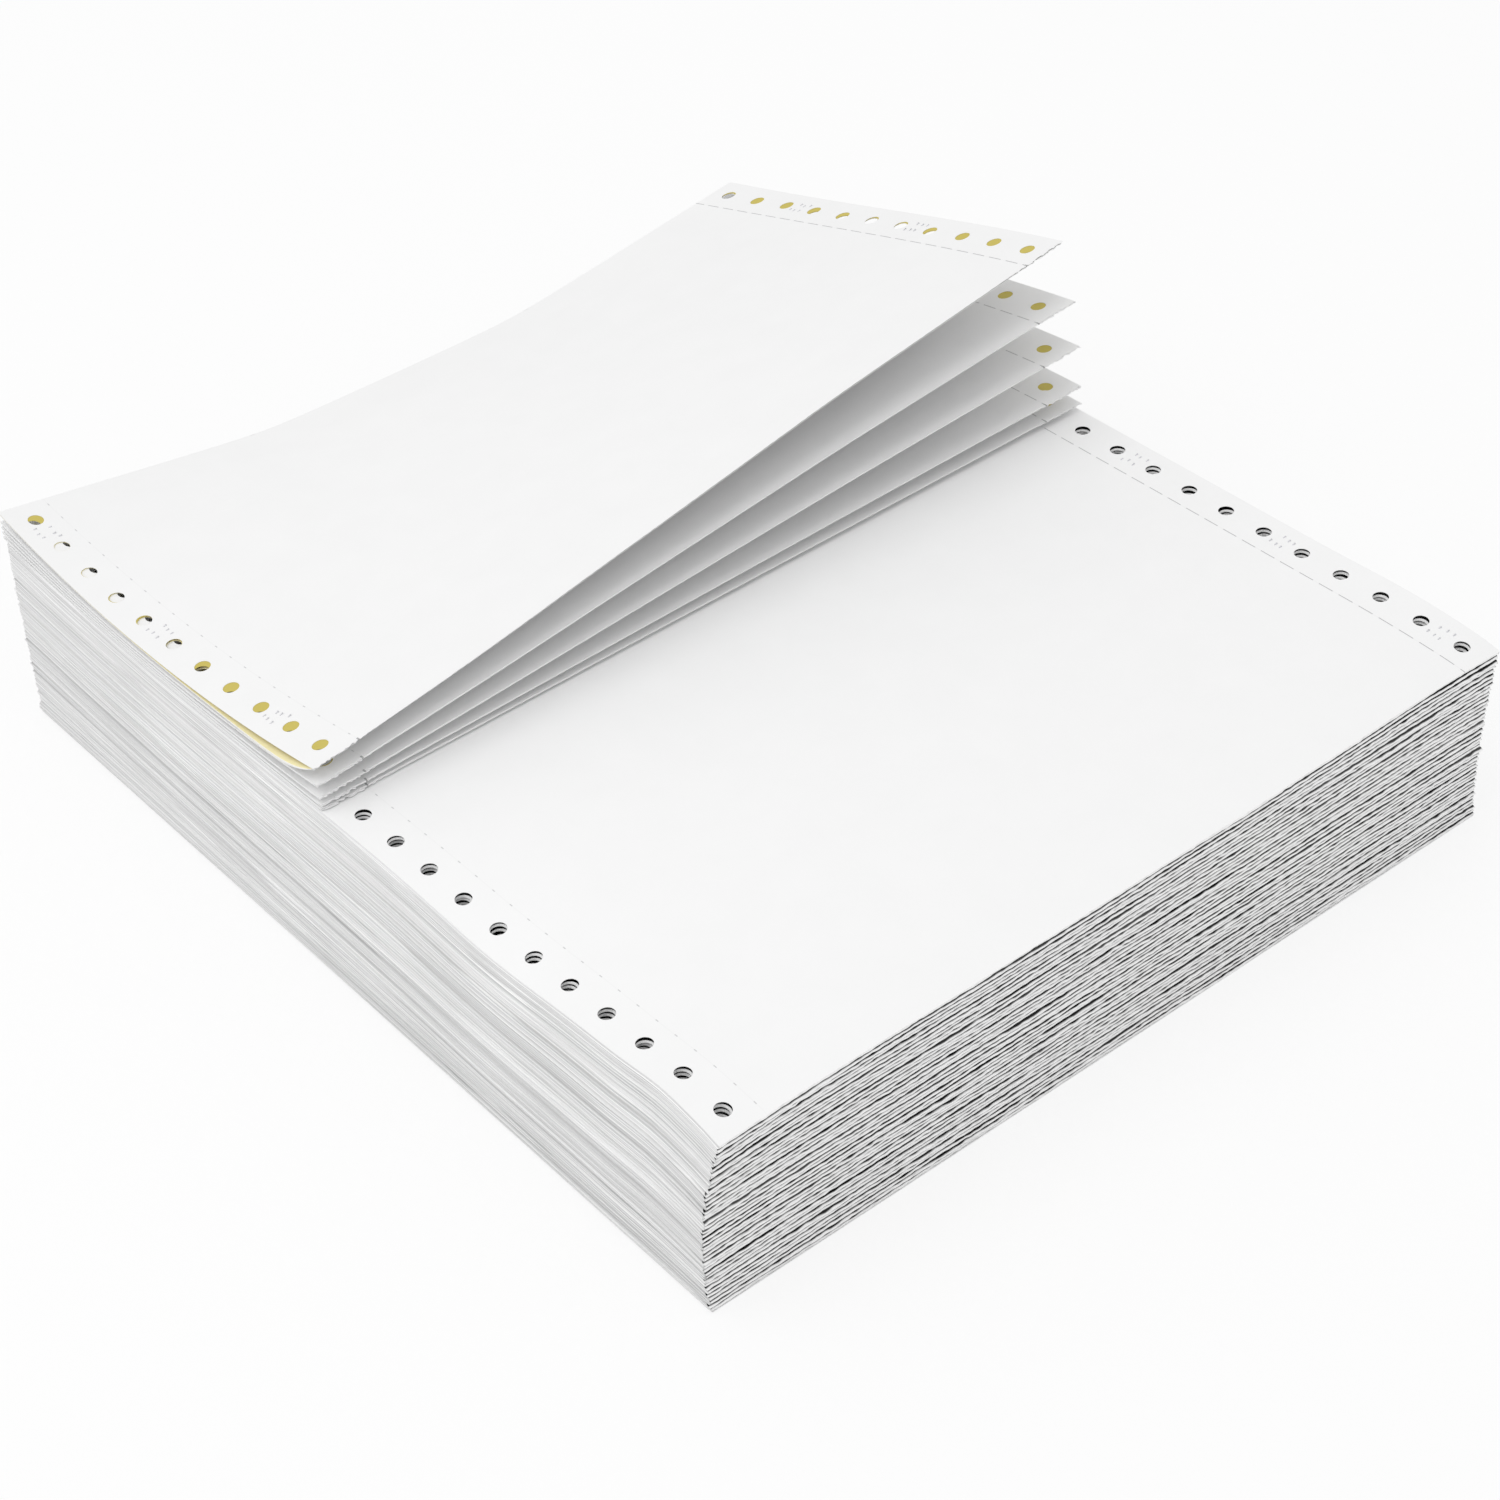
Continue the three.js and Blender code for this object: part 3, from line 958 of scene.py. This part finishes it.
class FoldRow:
    """Reach and height of one face's folds, for a number of columns along it."""

    def __init__(self, offset, columns, strength):
        self.offset = offset
        self.columns = columns
        per_mm = columns / (PAPER_WIDTH / MM)
        fine, wide = max(2, round(1.6 * per_mm)), round(40 * per_mm)
        self.reach = []
        self.groove = []
        self.lift = []
        ends = np.sin(np.linspace(0, math.pi, columns)) ** 0.3
        for fold in range(FOLD_COUNT + 2):
            level = 0.13 * math.sin(2.4 * fold) * math.cos(0.9 * fold)
            reach = level * MM + wander(columns, fine, 0.05 * MM) + wander(columns, wide, 0.10 * MM)
            self.reach.append(reach * strength)
            self.groove.append(strength * GROOVE_DEPTH * (0.45 + 0.55 * chance.random()))
            self.lift.append(wander(columns, wide // 2, 0.10 * MM) * ends)

    def at(self, level):
        """How far the wall stands out at a level, and how far it is lifted there."""
        place = min(level + self.offset, FOLD_COUNT + 1)
        fold = int(math.floor(place + 1e-9))
        fraction = place - fold
        out = max(0, 1 - abs(2 * fraction - 1) ** NOSE_POWER) ** (1 / NOSE_POWER)
        depth = self.groove[fold] if fraction < 0.5 else self.groove[fold + 1]
        if self.offset == 0 and level > FOLD_COUNT - 0.5:
            depth = 0
        reach = self.reach[fold] * out - depth * (1 - out)
        free = max(0, min(1, level, FOLD_COUNT - level - 1))
        return reach, self.lift[fold] * free


front_folds = FoldRow(0, FRONT_COLUMNS, 1)
rear_folds = FoldRow(0.5, REAR_COLUMNS, 0.4)
print("folds a side:", FOLD_COUNT, "of", round(2 * PANEL / MM, 2), "mm")

# %% [markdown]
# ## Steps of the cut sides
#
# The cut sides are smoother: hundreds of trimmed edges, panel on panel. Most lines are faint, and here
# and there a panel stands out and catches the light. Two lists of small steps say how far each panel
# stands out, one for each side.

# %% Steps of the cut sides
JOINT_DEPTH = 0.16 * MM
STRAY_SHARE = 0.15


def panel_steps(spread):
    """How far each panel's cut edge stands out. Panels were trimmed in lifts, with a few strays.

    The last few keep back, so that the top form covers them."""
    steps = spread * chance.normal(size=2 * FOLD_COUNT + 2)
    steps += 0.13 * np.sin(0.55 * np.arange(len(steps)))
    strays = chance.random(len(steps)) < STRAY_SHARE
    steps += strays * 0.3
    steps[-6:] = np.minimum(steps[-6:], -0.05)
    return steps * MM


left_steps, right_steps = panel_steps(0.10), panel_steps(0.10)


def side_step(level, steps):
    """Set of a cut side at a level, with a fine groove between panels."""
    place = 2 * level
    at_joint = abs(place - round(place)) < 1e-6
    return steps[min(int(place + 1e-6), len(steps) - 1)] - (JOINT_DEPTH if at_joint else 0)


widest_steps = [round(float(steps.max()) / MM, 2) for steps in (left_steps, right_steps)]
print("panels that stand out most, left and right, mm:", widest_steps)

# %% [markdown]
# ## Building the four walls
#
# All four walls are grids of points, with columns along the wall and levels up it. They meet at the corners
# because they read the same steps and the same folds. One grid for a wall is far lighter than hundreds of
# separate sheets, and light falls on it in the same way.

# %% Walls
SIDE_LEVELS = (0, 0.05, 0.25, 0.45, 0.5, 0.55, 0.75, 0.95)
SIDE_COLUMNS = 60


def levels(fractions):
    """Heights in fold pitches, counted from the bottom of the stack."""
    return [fold + fraction for fold in range(FOLD_COUNT) for fraction in fractions] + [FOLD_COUNT]


def grid_mesh(name, grid, flat, outward_first):
    """A wall from its grid of points."""
    rows, columns = grid.shape[:2]
    index = np.arange(rows * columns).reshape(rows, columns)
    a, b, c, d = index[:-1, :-1], index[:-1, 1:], index[1:, 1:], index[1:, :-1]
    faces = np.stack([a, b, c, d] if outward_first else [a, d, c, b], axis=-1).reshape(-1, 4).tolist()
    return make_mesh(name, grid.reshape(-1, 3), faces, flat.reshape(-1, 2))


def fold_wall(name, folds, direction, heights):
    """Part of the front or rear wall, between the given levels."""
    grid, flat = [], []
    for level in heights:
        left = -PAPER_WIDTH / 2 - side_step(level, left_steps)
        right = PAPER_WIDTH / 2 + side_step(level, right_steps)
        x = np.linspace(left, right, folds.columns)
        reach, lift = folds.at(level)
        y = direction * (TEAR_LENGTH + reach)
        grid.append(settled(x, y, level * 2 * PANEL + lift))
        shown = level + folds.offset if folds.offset else min(level, FOLD_COUNT - 0.5)
        flat.append(np.column_stack([x, np.full_like(x, shown * MM)]))
    return grid_mesh(name, np.array(grid), np.array(flat), direction < 0)


def cut_wall(name, direction, steps):
    """The left or the right wall."""
    grid, flat = [], []
    end = 0 if direction < 0 else -1
    for level in levels(SIDE_LEVELS):
        front = -TEAR_LENGTH - front_folds.at(level)[0][end]
        rear = TEAR_LENGTH + rear_folds.at(level)[0][end]
        y = np.linspace(front, rear, SIDE_COLUMNS)
        x = np.full_like(y, direction * (PAPER_WIDTH / 2 + side_step(level, steps)))
        grid.append(settled(x, y, np.full_like(y, level * 2 * PANEL)))
        flat.append(np.column_stack([y, np.full_like(y, level * MM)]))
    return grid_mesh(name, np.array(grid), np.array(flat), direction > 0)


print("levels of a fold wall and of a cut wall:", len(levels(FOLD_LEVELS)), len(levels(SIDE_LEVELS)))

# %% [markdown]
# ## Finish of the folds
#
# Grooves between folds hold deep shade and a little dust, and the fold finish paints that shade in: it
# darkens to near black with the distance into a groove, which it finds from the level kept in the UVs.
# Noise makes the grooves waver and twist, and some bands of folds are packed tighter, and their painted
# shade is fainter.

# %% Fold material


def clamped(tree, value, start, end):
    """0 below start, 1 above end, and straight between them."""
    made = node(tree, "ShaderNodeMapRange")
    tree.links.new(value, made.inputs["Value"])
    made.inputs["From Min"].default_value = start
    made.inputs["From Max"].default_value = end
    return made.outputs["Result"]


def fold_material():
    """Bright noses, and grooves painted dark as shade, in bands of more and less contrast."""
    material, tree, shader, place = new_paper("fold_paper")
    x, level = flat_place(tree)
    fold = calc(tree, "DIVIDE", level, MM)
    slow = calc(tree, "SUBTRACT", noise(tree, stretched(tree, x, fold, 60, 0.8), 1, 1), 0.5)
    fast = calc(tree, "SUBTRACT", noise(tree, stretched(tree, x, fold, 380, 0.9), 1, 0), 0.5)
    wavered = calc(tree, "ADD", fold, calc(tree, "MULTIPLY", slow, 0.16))
    fraction = calc(tree, "FRACT", calc(tree, "ADD", wavered, calc(tree, "MULTIPLY", fast, 0.22)))
    into_nose = calc(tree, "SUBTRACT", 0.5, calc(tree, "ABSOLUTE", calc(tree, "SUBTRACT", fraction, 0.5)))
    open_share = clamped(tree, into_nose, 0.12, 0.27)
    fade = clamped(tree, noise(tree, stretched(tree, x, fold, 4, 0.30), 1, 3), 0.45, 0.70)
    # Painted shade: the grooves go near black, and a little lighter in the fainter bands
    groove = blend(tree, fade, (0.004, 0.004, 0.004), (0.13, 0.13, 0.13))
    nick = clamped(tree, noise(tree, stretched(tree, x, fold, 420, 1.3), 1, 2), 0.28, 0.5)
    nose = blend(tree, nick, (0.82, 0.82, 0.82), (1.0, 1.0, 1.0))
    tree.links.new(blend(tree, open_share, groove, nose), shader.inputs["Base Color"])
    return material


fold_paper = fold_material()
print("nodes of the fold finish:", len(fold_paper.node_tree.nodes))

# %% [markdown]
# ## Finish of the cut edges
#
# The cut edges have fine lines that run along the stack, darker and lighter: painted light and shade, for
# the way each guillotined panel catches the light a little differently. Broad bands shift the tone of whole
# lifts of paper. A few bright streaks, painted highlights, and a few dark gaps, painted shade, go over
# them.

# %% Edge material
def edge_material():
    """Fine lines of painted light and shade along the cut edges, with a few painted highlights as bright
    streaks.
    """
    material, tree, shader, place = new_paper("cut_edges")
    along, level = flat_place(tree)
    fold = calc(tree, "DIVIDE", level, MM)
    # Painted light and shade: fine lines, lighter and darker, for how each panel catches the light
    lines = calc(tree, "SUBTRACT", noise(tree, stretched(tree, along, fold, 6, 3.4), 1, 4), 0.5)
    bands = calc(tree, "SUBTRACT", noise(tree, stretched(tree, along, fold, 3, 0.30), 1, 2), 0.5)
    share = calc(tree, "ADD", calc(tree, "MULTIPLY", lines, 4.4), calc(tree, "MULTIPLY", bands, 1.6))
    colour = blend(tree, clamped(tree, share, -0.5, 0.5), (0.66, 0.66, 0.66), (0.90, 0.90, 0.90))
    # Painted highlights in a few bright streaks, and painted shade in a few dark gaps
    streaks = clamped(tree, noise(tree, stretched(tree, along, fold, 22, 3.7), 1, 0), 0.62, 0.68)
    streaked = clamped(tree, noise(tree, stretched(tree, along, fold, 5, 0.12), 1, 1), 0.38, 0.50)
    dark = clamped(tree, noise(tree, stretched(tree, along, fold, 30, 4.9), 1, 0), 0.70, 0.76)
    colour = blend(tree, calc(tree, "MULTIPLY", dark, 0.6), colour, (0.45, 0.45, 0.45))
    colour = blend(tree, calc(tree, "MULTIPLY", streaks, streaked), colour, (1.0, 1.0, 1.0))
    tree.links.new(colour, shader.inputs["Base Color"])
    return material


edge_paper = edge_material()
print("nodes of the edge finish:", len(edge_paper.node_tree.nodes))

# %% [markdown]
# ## Putting the walls up
#
# The front wall has the most faces, as it's the one that the photograph shows best. We make it in two
# pieces, so that neither gets too heavy.

# %% The four walls
fold_levels = levels(FOLD_LEVELS)
half_way = len(FOLD_LEVELS) * (FOLD_COUNT // 2)
walls = [
    (fold_wall("front_folds_low", front_folds, -1, fold_levels[:half_way + 1]), fold_paper),
    (fold_wall("front_folds_high", front_folds, -1, fold_levels[half_way:]), fold_paper),
    (fold_wall("rear_folds", rear_folds, 1, fold_levels), fold_paper),
    (cut_wall("left_cut_edges", -1, left_steps), edge_paper),
    (cut_wall("right_cut_edges", 1, right_steps), edge_paper),
]
for wall, material in walls:
    finish_piece(wall, "fanfold_stack", material)
print("wall faces:", [len(wall.data.polygons) for wall, _ in walls])

# %% [markdown]
# ## The top and bottom sheets
#
# The top sheet is a whole punched form that lies on the walls, and the bottom one closes the stack below.
# Both come from the same net as the leaves, laid out at twice the length.

# %% Top and bottom sheets
full_net = sheet_net(-TEAR_LENGTH, TEAR_LENGTH)
TOP_SHEET = 0.12 * MM


def full_sheet(name, height):
    """A whole form at a height of the stack."""
    flat = np.array(full_net.points)
    piece = sheet_piece(name, full_net, settled(flat[:, 0], flat[:, 1], height), TOP_SHEET)
    return finish_piece(piece, "fanfold_stack", white_paper)


full_sheet("top_form", STACK_HEIGHT)
full_sheet("bottom_form", TOP_SHEET)
print("faces of a whole form:", len(full_net.faces))

# %% [markdown]
# ## Rings and bores under the holes
#
# Under each hole of the top sheet we put three loose rings, each a little out of line with the next, as
# the panels of a stack are. Light catches their edges and the gaps between them go dark, partly in real
# shade and partly in painted shade from a near-black pocket, which is what makes a punched stack look deep.
# Narrow rings work best: on wide ones one sees only grey paper in the gaps. Below the rings a plain bore,
# painted near black as shade, goes through to the bottom sheet.

# %% Loops and strips for the holes
RING_POINTS = 24
turns = 2 * np.pi * np.arange(RING_POINTS) / RING_POINTS
circle = np.array([(math.cos(turn), math.sin(turn)) for turn in turns])


class Tubes:
    """Loops of points joined by strips."""

    def __init__(self):
        self.points = []
        self.faces = []

    def loop(self, centre, radius, z):
        flat = np.array(centre) + radius * circle
        start = len(self.points)
        self.points.extend(settled(flat[:, 0], flat[:, 1], np.full(RING_POINTS, z)).tolist())
        return [start + i for i in range(RING_POINTS)]

    def join(self, *loops):
        for first, second in zip(loops, loops[1:]):
            for i in range(RING_POINTS):
                j = (i + 1) % RING_POINTS
                self.faces.append([first[i], first[j], second[j], second[i]])

    def piece(self, name, material):
        made = make_mesh(name, self.points, self.faces, np.array(self.points)[:, :2])
        return finish_piece(made, None, material)


rings, bores = Tubes(), Tubes()
print("points of a loop:", RING_POINTS)

# %% [markdown]
# ## A stack of rings in every hole
#
# A ring is three loops: the outer and the inner edge of its top, and the foot of its inner wall. Its
# underside belongs to the piece painted near black as shade, so that no light comes back from it. A pocket
# wider than the rings goes round them, and its wall, painted near black as shade, is what one sees through
# the gaps.

# %% Rings and bores
RING_COUNT = 3
RING_PITCH = 1.15 * MM
RING_WIDTH = 0.35 * MM
RING_SHEET = 0.45 * MM
RING_SPREAD = 0.20 * MM
POCKET = HOLE_RADIUS + 1.9 * MM
hole_centres = [
    (side * (PAPER_WIDTH / 2 - HOLE_INSET), -TEAR_LENGTH + (row + 0.5) * HOLE_PITCH)
    for side in (-1, 1) for row in range(round(FORM_LENGTH / HOLE_PITCH))
]
for centre in hole_centres:
    offsets = np.cumsum(chance.normal(scale=RING_SPREAD, size=(RING_COUNT, 2)), axis=0)
    for number, offset in enumerate(offsets):
        z = STACK_HEIGHT - (number + 0.75) * RING_PITCH + 0.10 * MM * chance.normal()
        low, outer = z - RING_SHEET, HOLE_RADIUS + RING_WIDTH
        middle = np.array(centre) + offset
        outer_high, inner_high = rings.loop(middle, outer, z), rings.loop(middle, HOLE_RADIUS, z)
        rings.join(outer_high, inner_high, rings.loop(middle, HOLE_RADIUS, low))
        bores.join(bores.loop(middle, HOLE_RADIUS, low), bores.loop(middle, outer, low))
    ceiling_z = STACK_HEIGHT - TOP_SHEET - 0.02 * MM
    floor_z = STACK_HEIGHT - (RING_COUNT + 1) * RING_PITCH
    bores.join(
        bores.loop(centre, POCKET, ceiling_z), bores.loop(centre, POCKET, floor_z),
        bores.loop(centre, HOLE_RADIUS, floor_z), bores.loop(centre, HOLE_RADIUS, 0.05 * MM),
    )
ring_paper = paper_material("ring_paper", (0.96, 0.96, 0.96), (0.88, 0.88, 0.88))
# Painted shade: the bores, pockets and ring undersides are near black
bore_painted_shade = paper_material("bore_shade", (0.02, 0.02, 0.02), (0.008, 0.008, 0.008))
rings.piece("hole_rings", ring_paper)
bores.piece("hole_bores", bore_painted_shade)
print("ring faces:", len(rings.faces), "bore faces:", len(bores.faces))

# %% [markdown]
# ## Crimps
#
# The plies of a form are held together by crimps in the feed margins: a few narrow tongues, punched
# through every ply and pressed over. Each tongue is a small wedge that lifts at one end, and we put two
# rows of three between certain holes. They are laid on the curled sheet with the same function that
# curled it, so they follow its surface exactly.

# %% One crimp
TONGUE_LENGTH = 0.9 * MM
TONGUE_WIDTH = 0.3 * MM
TONGUE_LIFT = 0.22 * MM
TONGUE_ROOT = 0.03 * MM


def crimp_tongues(points, faces, flat, place_on, x, y):
    """Two rows of three tongues at one place of a sheet."""
    for row in (-1, 1):
        for column in (-1, 0, 1):
            x0 = x + 1.7 * row * MM - TONGUE_LENGTH / 2 + 0.3 * MM * chance.normal()
            y0 = y + (1.9 * column - 0.8 * row) * MM + 0.2 * MM * chance.normal()
            x1, y1 = x0 + TONGUE_LENGTH, y0 + TONGUE_WIDTH
            base = [(x0, y0), (x1, y0), (x1, y1), (x0, y1)]
            start = len(points)
            on_sheet = place_on(np.array(base))
            lift = TONGUE_LIFT * (0.5 + chance.random())
            raised = on_sheet.copy()
            raised[:, 2] += (TONGUE_ROOT, lift, lift, TONGUE_ROOT)
            points.extend(on_sheet.tolist() + raised.tolist())
            flat.extend(base + base)
            faces.append([start + 4, start + 5, start + 6, start + 7])
            for i in range(4):
                j = (i + 1) % 4
                faces.append([start + i, start + j, start + 4 + j, start + 4 + i])


# Painted shade: the tongues are a darker grey than the paper, so that the small crimps show
crimp_painted_shade = paper_material("crimp_painted_shade", (0.76, 0.76, 0.79), (0.60, 0.60, 0.63))
print("tongue, mm:", round(TONGUE_LENGTH / MM, 2), "by", round(TONGUE_WIDTH / MM, 2))

# %% [markdown]
# ## Crimps on the leaf and on the stack
#
# On the top leaf the crimps come between every fourth pair of holes, counted from the rear fold. On the
# stack's top form we see them along the right margin.

# %% Crimps in place
HOLES_X = PAPER_WIDTH / 2 - HOLE_INSET
LEAF_CRIMPS = ((1, 3), (1, 7), (-1, 1), (-1, 5), (-1, 9))
STACK_CRIMPS = (2, 6, 10)


def on_leaf(flat_points):
    """Places of flat points on the top leaf."""
    return curl(flat_points, upper)


def on_stack(flat_points):
    """Places of flat points on the stack's top form."""
    return settled(flat_points[:, 0], flat_points[:, 1], STACK_HEIGHT)


points, faces, flat = [], [], []
for side, number in LEAF_CRIMPS:
    crimp_tongues(points, faces, flat, on_leaf, side * HOLES_X, TEAR_LENGTH - number * HOLE_PITCH)
finish_piece(make_mesh("leaf_crimps", points, faces, flat), None, crimp_painted_shade)
points, faces, flat = [], [], []
for number in STACK_CRIMPS:
    crimp_tongues(points, faces, flat, on_stack, HOLES_X, -number * HOLE_PITCH)
finish_piece(make_mesh("stack_crimps", points, faces, flat), None, crimp_painted_shade)
print("crimps:", len(LEAF_CRIMPS) + len(STACK_CRIMPS))

# %% [markdown]
# ## The floor
#
# The photograph was taken on white. A big plain floor takes a soft shadow, and looks white to the camera
# without lighting the paper more than a plain floor would: most of what the camera sees of it is an even
# glow that other light never meets. It lies a fifth of a millimetre low, so that it can't flicker through
# the bottom sheet.

# %% Floor
FLOOR_REACH = 6.0
FLOOR_HEIGHT = -0.2 * MM
FLOOR_GLOW = 0.8


def make_floor():
    """A big square floor, marked as stage."""
    mesh = bpy.data.meshes.new("floor")
    signs = ((-1, -1), (1, -1), (1, 1), (-1, 1))
    corners = [(x * FLOOR_REACH, y * FLOOR_REACH, FLOOR_HEIGHT) for x, y in signs]
    mesh.from_pydata(corners, [], [[0, 1, 2, 3]])
    floor = bpy.data.objects.new("floor", mesh)
    bpy.context.scene.collection.objects.link(floor)
    material = bpy.data.materials.new("floor_white")
    material.use_nodes = True
    tree = material.node_tree
    shader = tree.nodes["Principled BSDF"]
    shader.inputs["Base Color"].default_value = (0.9, 0.9, 0.9, 1)
    shader.inputs["Roughness"].default_value = 0.9
    glow = node(tree, "ShaderNodeEmission")
    glow.inputs["Strength"].default_value = 1
    path = node(tree, "ShaderNodeLightPath")
    share = calc(tree, "MULTIPLY", path.outputs["Is Camera Ray"], FLOOR_GLOW)
    mix = node(tree, "ShaderNodeMixShader")
    tree.links.new(share, mix.inputs[0])
    tree.links.new(shader.outputs[0], mix.inputs[1])
    tree.links.new(glow.outputs[0], mix.inputs[2])
    tree.links.new(mix.outputs[0], tree.nodes["Material Output"].inputs["Surface"])
    mesh.materials.append(material)
    floor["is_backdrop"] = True
    return floor


print("floor:", make_floor().name)

# %% [markdown]
# ## Sky and lamp
#
# The light is very soft and comes from everywhere, so an even white sky does most of the work. One broad
# lamp, high up at the left, gives the gentle shade under the leaves and a faint shadow beside the stack.
# Together they show a colour about as it's written, and white paper stays just below pure white.

# %% Sky and lamp
SKY_LEVEL = 0.82
LAMP_PLACE = (-0.7, 0.15, 1.35)
LAMP_SIZE = 1.3
LAMP_POWER = 6.3


def make_sky(strength):
    """An even white sky, white to the camera and of the given strength as light."""
    world = bpy.data.worlds.new("studio")
    bpy.context.scene.world = world
    world.use_nodes = True
    tree = world.node_tree
    background = tree.nodes["Background"]
    background.inputs["Color"].default_value = (1, 1, 1, 1)
    path = node(tree, "ShaderNodeLightPath")
    level = calc(tree, "MAXIMUM", path.outputs["Is Camera Ray"], strength)
    tree.links.new(level, background.inputs["Strength"])


def make_lamp(name, place, size, power):
    """A round lamp that points at the frame's origin."""
    data = bpy.data.lights.new(name, "AREA")
    data.shape = "DISK"
    data.size = size
    data.energy = power
    lamp = bpy.data.objects.new(name, data)
    bpy.context.scene.collection.objects.link(lamp)
    lamp.location = place
    lamp.rotation_mode = "QUATERNION"
    lamp.rotation_quaternion = (-Vector(place)).to_track_quat("-Z", "Y")
    return lamp


make_sky(SKY_LEVEL)
lamp = make_lamp("overhead", LAMP_PLACE, LAMP_SIZE, LAMP_POWER)
bpy.context.scene.view_settings.view_transform = "Standard"
print("lamp at", [round(v, 2) for v in lamp.location], "watts:", LAMP_POWER)

# %% [markdown]
# ## The size of the dressed model
#
# We set the dressed model's box beside the solids' own box, and print how far it reaches past it.
# The dressed model has to stay within the solids' own box.

# %% Size of the dressed model
low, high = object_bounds()
{"cad": [list(cad_low), list(cad_high)], "visual": [list(low), list(high)]}
print("growth in mm:", [round(1000 * v, 2) for v in (*(cad_low - low), *(high - cad_high))])
